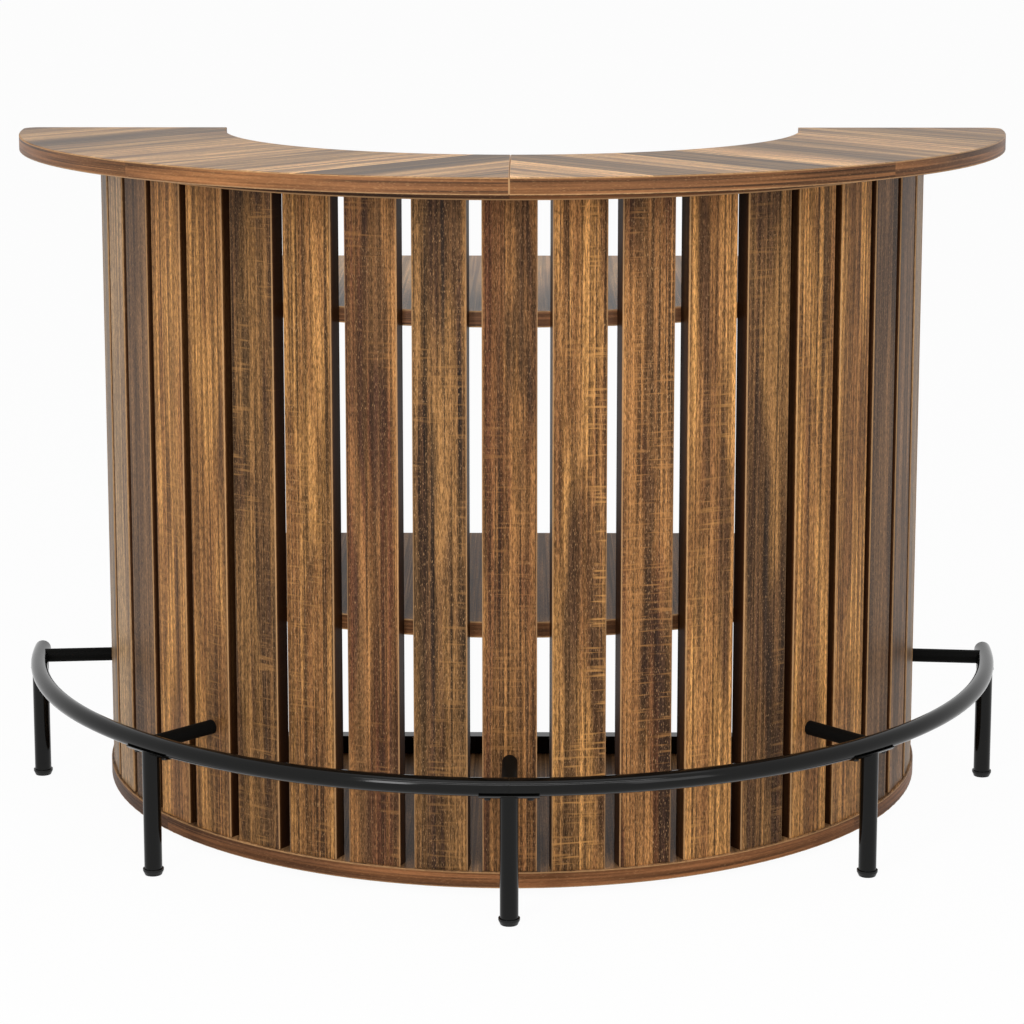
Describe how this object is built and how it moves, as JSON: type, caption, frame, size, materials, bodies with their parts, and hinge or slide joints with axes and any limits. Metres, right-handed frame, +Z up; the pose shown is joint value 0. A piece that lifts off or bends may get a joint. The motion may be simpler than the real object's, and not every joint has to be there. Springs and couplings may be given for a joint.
{
  "type": "bar table",
  "caption": "Half-round bar table: a ring-shaped wooden top on a curved wall of upright slats, open shelves behind, a half-round base and a black tubular foot rail on legs.",
  "frame": {"origin": "on the floor, under the middle of the overall bounding box", "axes": "+X along the straight back edge, -Y out of the slatted guest side, +Z up"},
  "size_m": [1.6022, 0.8187, 1.075],
  "materials": {
    "top_wood": "lacquered plank boards with a matching edge band",
    "ring_wood": "lacquered edge",
    "slat_wood_golden": "lacquered reclaimed-look plank, golden tan",
    "slat_wood_brown": "lacquered reclaimed-look plank, dark brown",
    "slat_wood_grey": "lacquered reclaimed-look plank, grey brown",
    "base_wood": "lacquered, with a matching edge band",
    "shelf_wood": "lacquered",
    "black_steel": "satin black powder coat",
    "black_plastic": "moulded, matte",
    "zinc_steel": "zinc plated",
    "black_screws": "black oxide"
  },
  "bodies": {
    "table": {"top_board_left": "top_wood", "top_board_right": "top_wood", "upper_plate_left": "ring_wood", "upper_plate_middle": "ring_wood", "upper_plate_right": "ring_wood", "slat_01": "slat_wood_grey", "slat_02": "slat_wood_grey", "slat_03": "slat_wood_golden", "slat_04": "slat_wood_brown", "slat_05": "slat_wood_golden", "slat_06": "slat_wood_golden", "slat_07": "slat_wood_brown", "slat_08": "slat_wood_golden", "slat_09": "slat_wood_brown", "slat_10": "slat_wood_brown", "slat_11": "slat_wood_golden", "slat_12": "slat_wood_golden", "slat_13": "slat_wood_brown", "slat_14": "slat_wood_golden", "slat_15": "slat_wood_brown", "slat_16": "slat_wood_golden", "slat_17": "slat_wood_golden", "slat_18": "slat_wood_grey", "slat_19": "slat_wood_grey", "slat_20": "slat_wood_grey", "slat_21": "slat_wood_grey", "base_plate": "base_wood", "upper_shelf": "shelf_wood", "lower_shelf": "shelf_wood", "rear_bar": "black_steel", "foot_rail_left": "black_steel", "foot_rail_right": "black_steel", "leg_1": "black_steel", "leg_2": "black_steel", "leg_3": "black_steel", "leg_4": "black_steel", "leg_5": "black_steel", "stand_off_1": "black_steel", "stand_off_2": "black_steel", "stand_off_3": "black_steel", "stand_off_4": "black_steel", "stand_off_5": "black_steel", "rail_joiner": "zinc_steel", "rail_end_plugs": "black_plastic", "leg_caps": "black_plastic", "levelling_inserts": "zinc_steel", "base_screws": "zinc_steel", "bar_screws": "zinc_steel", "upper_plate_screws": "zinc_steel", "top_board_screws": "zinc_steel", "shelf_brackets": "zinc_steel", "bracket_screws": "zinc_steel", "saddle_screws": "black_screws", "stand_off_bolts": "black_screws"},
    "foot_1": {"levelling_foot_1": "black_plastic"},
    "foot_2": {"levelling_foot_2": "black_plastic"},
    "foot_3": {"levelling_foot_3": "black_plastic"},
    "foot_4": {"levelling_foot_4": "black_plastic"},
    "foot_5": {"levelling_foot_5": "black_plastic"}
  },
  "joints": [
    {"name": "foot_1_height", "type": "slide", "parent": "table", "child": "foot_1", "axis": [0, 0, -1], "range_m": [0, 0.01]},
    {"name": "foot_2_height", "type": "slide", "parent": "table", "child": "foot_2", "axis": [0, 0, -1], "range_m": [0, 0.01]},
    {"name": "foot_3_height", "type": "slide", "parent": "table", "child": "foot_3", "axis": [0, 0, -1], "range_m": [0, 0.01]},
    {"name": "foot_4_height", "type": "slide", "parent": "table", "child": "foot_4", "axis": [0, 0, -1], "range_m": [0, 0.01]},
    {"name": "foot_5_height", "type": "slide", "parent": "table", "child": "foot_5", "axis": [0, 0, -1], "range_m": [0, 0.01]}
  ]
}
